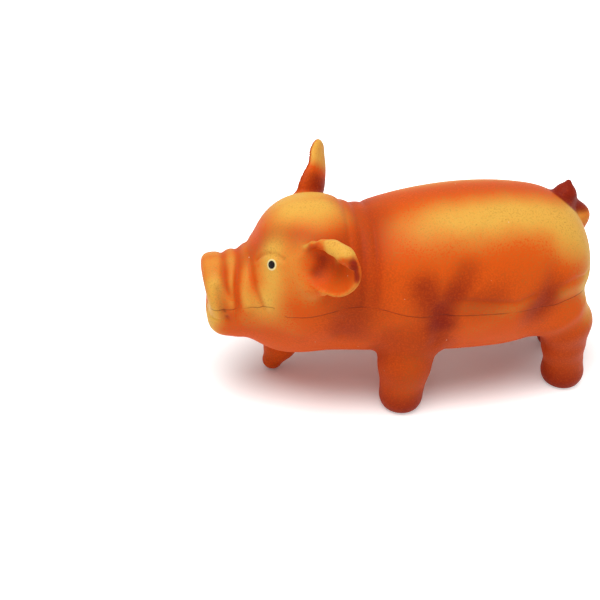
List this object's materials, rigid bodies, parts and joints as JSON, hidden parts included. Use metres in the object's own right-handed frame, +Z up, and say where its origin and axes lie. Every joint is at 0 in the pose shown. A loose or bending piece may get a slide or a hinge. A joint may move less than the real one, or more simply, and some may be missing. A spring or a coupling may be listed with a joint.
{
  "type": "squeaky pig dog toy",
  "caption": "Standing pig-shaped dog toy: a stuffed latex skin with flexing legs, ears and curled tail, and a reed squeaker buttoned into the belly.",
  "frame": {"origin": "on the ground under the middle of the toy's bounding box", "axes": "+X from the snout towards the tail, +Y towards the right side of the pig, +Z up"},
  "size_m": [0.1658, 0.0798, 0.0968],
  "materials": {
    "latex_ochre": "matte airbrushed latex",
    "latex_orange": "matte airbrushed latex",
    "latex_red_brown": "matte airbrushed latex",
    "fibre": "loose polyester fibre",
    "white_plastic": "moulded",
    "clear_plastic": "milky moulded"
  },
  "bodies": {
    "torso": {"belly_skin": "latex_orange", "head_skin": "latex_ochre", "head_filling": "fibre", "trunk_filling": "fibre", "squeaker_case": "white_plastic", "squeaker_cap": "white_plastic", "reed_holder": "clear_plastic", "reed_wedge": "clear_plastic"},
    "back": {"back_skin": "latex_orange"},
    "tail": {"tail": "latex_red_brown"},
    "ear_left": {"ear_left": "latex_orange"},
    "ear_right": {"ear_right": "latex_orange"},
    "leg_front_left": {"front_leg_left": "latex_red_brown"},
    "leg_front_right": {"front_leg_right": "latex_red_brown"},
    "leg_hind_left": {"hind_leg_left": "latex_red_brown"},
    "leg_hind_right": {"hind_leg_right": "latex_red_brown"},
    "reed_tongue": {"reed": "clear_plastic"}
  },
  "joints": [
    {"name": "squeeze", "type": "slide", "parent": "torso", "child": "back", "axis": [0, 0, -1], "range_m": [0, 0.008], "stiffness_N_per_m": 800, "springref_m": -0.001, "deforming": ["back_skin", "trunk_filling"]},
    {"name": "tail_flick", "type": "hinge", "parent": "back", "child": "tail", "pos_m": [0.06035, 0.00422, 0.076], "axis": [0.6, 0, 0.8], "range_deg": [-12, 12], "stiffness_Nm_per_rad": 0.02},
    {"name": "ear_flap_left", "type": "hinge", "parent": "torso", "child": "ear_left", "pos_m": [-0.03676, -0.02227, 0.0701], "axis": [-0.0938, -0.2295, -0.9688], "range_deg": [-15, 15], "stiffness_Nm_per_rad": 0.02},
    {"name": "ear_flap_right", "type": "hinge", "parent": "torso", "child": "ear_right", "pos_m": [-0.03504, 0.02374, 0.077], "axis": [-0.4538, -0.6495, 0.6101], "range_deg": [-15, 15], "stiffness_Nm_per_rad": 0.02},
    {"name": "leg_bend_front_left", "type": "hinge", "parent": "torso", "child": "leg_front_left", "pos_m": [-0.00065, -0.01378, 0.036], "axis": [0, 1, 0], "range_deg": [-8, 8], "stiffness_Nm_per_rad": 0.6},
    {"name": "leg_bend_front_right", "type": "hinge", "parent": "torso", "child": "leg_front_right", "pos_m": [-0.03365, 0.01722, 0.033], "axis": [0, 1, 0], "range_deg": [-8, 8], "stiffness_Nm_per_rad": 0.6},
    {"name": "leg_bend_hind_left", "type": "hinge", "parent": "torso", "child": "leg_hind_left", "pos_m": [0.05535, -0.01328, 0.038], "axis": [0, 1, 0], "range_deg": [-8, 8], "stiffness_Nm_per_rad": 0.6},
    {"name": "leg_bend_hind_right", "type": "hinge", "parent": "torso", "child": "leg_hind_right", "pos_m": [0.05735, 0.01972, 0.038], "axis": [0, 1, 0], "range_deg": [-8, 8], "stiffness_Nm_per_rad": 0.6},
    {"name": "reed_buzz", "type": "hinge", "parent": "torso", "child": "reed_tongue", "pos_m": [0.02135, 0.00417, 0.0206], "axis": [1, 0, 0], "range_deg": [-8, 1.5], "stiffness_Nm_per_rad": 0.00002}
  ]
}
